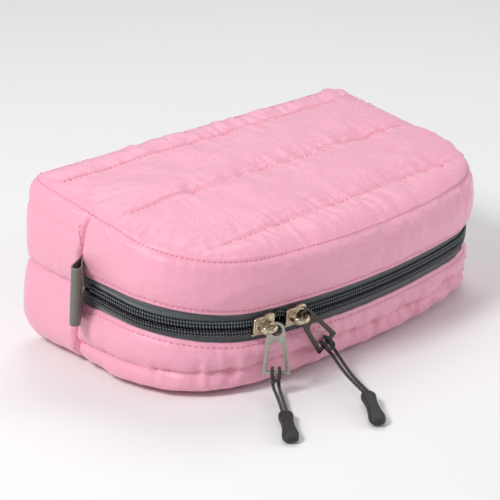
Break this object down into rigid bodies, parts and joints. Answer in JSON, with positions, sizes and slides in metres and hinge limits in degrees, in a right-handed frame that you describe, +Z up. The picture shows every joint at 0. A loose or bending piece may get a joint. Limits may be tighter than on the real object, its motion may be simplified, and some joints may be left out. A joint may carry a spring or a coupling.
{
  "type": "cable organizer pouch",
  "caption": "Padded nylon clamshell pouch with a D-shaped plan, a double-slider coil zip round three sides, a folding back and corded zip pulls.",
  "frame": {"origin": "middle of the flat bottom face, on the surface that the pouch stands on", "axes": "+X along the pouch's width to its right, +Y from the zip's front towards the folding back, +Z up"},
  "size_m": [0.2346, 0.1799, 0.0819],
  "materials": {
    "outer_nylon": "smooth nylon with a soft sheen",
    "wadding": "matt polyester wadding",
    "lining_nylon": "plain matt nylon",
    "zip_tape": "herringbone polyester tape",
    "zip_coil": "satin nylon coil",
    "seam_binding": "grosgrain",
    "mesh": "open polyester mesh",
    "elastic": "woven elastic",
    "ribbon": "satin ribbon",
    "slider_metal": "antique light gold",
    "spring_steel": "bright spring steel",
    "pull_metal": "polished nickel",
    "cord": "braided polyester cord",
    "grip_rubber": "matt moulded rubber"
  },
  "bodies": {
    "base": {"bottom_panel_shell": "outer_nylon", "bottom_panel_wadding": "wadding", "bottom_panel_lining": "lining_nylon", "lower_gusset_shell": "outer_nylon", "lower_gusset_wadding": "wadding", "lower_gusset_lining": "lining_nylon", "back_lower_shell": "outer_nylon", "back_lower_wadding": "wadding", "back_lower_lining": "lining_nylon", "zip_tape_lower": "zip_tape", "zip_coil_lower": "zip_coil", "bottom_seam_binding": "seam_binding", "elastic_cable_loops": "elastic", "zip_end_tab_left": "ribbon", "zip_end_tab_right": "ribbon"},
    "lid": {"top_panel_shell": "outer_nylon", "top_panel_wadding": "wadding", "top_panel_lining": "lining_nylon", "upper_gusset_shell": "outer_nylon", "upper_gusset_wadding": "wadding", "upper_gusset_lining": "lining_nylon", "back_upper_shell": "outer_nylon", "back_upper_wadding": "wadding", "back_upper_lining": "lining_nylon", "zip_tape_upper": "zip_tape", "zip_coil_upper": "zip_coil", "top_seam_binding": "seam_binding", "lid_mesh_pocket": "mesh", "mesh_pocket_hem": "elastic"},
    "slider_left": {"slider_body_left": "slider_metal", "slider_crown_left": "slider_metal", "lock_spring_left": "spring_steel"},
    "pull_left": {"pull_tab_left": "pull_metal"},
    "cord_left": {"pull_cord_left": "cord", "cord_grip_left": "grip_rubber"},
    "slider_right": {"slider_body_right": "slider_metal", "slider_crown_right": "slider_metal", "lock_spring_right": "spring_steel"},
    "pull_right": {"pull_tab_right": "pull_metal"},
    "cord_right": {"pull_cord_right": "cord", "cord_grip_right": "grip_rubber"}
  },
  "joints": [
    {"name": "lid_hinge", "type": "hinge", "parent": "base", "child": "lid", "pos_m": [0, 0.05594, 0.04357], "axis": [-1, 0, 0], "range_deg": [0, 70]},
    {"name": "slider_left_travel", "type": "hinge", "parent": "base", "child": "slider_left", "pos_m": [-0.059, -0.01276, 0.0367], "axis": [0, 0.0995, -0.995], "range_deg": [0, 68]},
    {"name": "slider_right_travel", "type": "hinge", "parent": "base", "child": "slider_right", "pos_m": [0, 0.33455, 0.07143], "axis": [0, -0.0995, 0.995], "range_deg": [-0.5, 16.5]},
    {"name": "pull_left_swing", "type": "hinge", "parent": "slider_left", "child": "pull_left", "pos_m": [-0.065, -0.06546, 0.03143], "axis": [-0.7157, -0.6984, 0], "range_deg": [0, 90]},
    {"name": "pull_right_swing", "type": "hinge", "parent": "slider_right", "child": "pull_right", "pos_m": [-0.04637, -0.0649, 0.03149], "axis": [-0.1236, -0.9923, 0], "range_deg": [-38, 75]},
    {"name": "cord_left_lift", "type": "hinge", "parent": "pull_left", "child": "cord_left", "pos_m": [-0.065, -0.06546, 0.01043], "axis": [-0.6984, 0.7157, 0], "range_deg": [0, 60]},
    {"name": "cord_right_lift", "type": "hinge", "parent": "pull_right", "child": "cord_right", "pos_m": [-0.03354, -0.0665, 0.01494], "axis": [-0.782, 0.0974, -0.6157], "range_deg": [0, 80]}
  ]
}
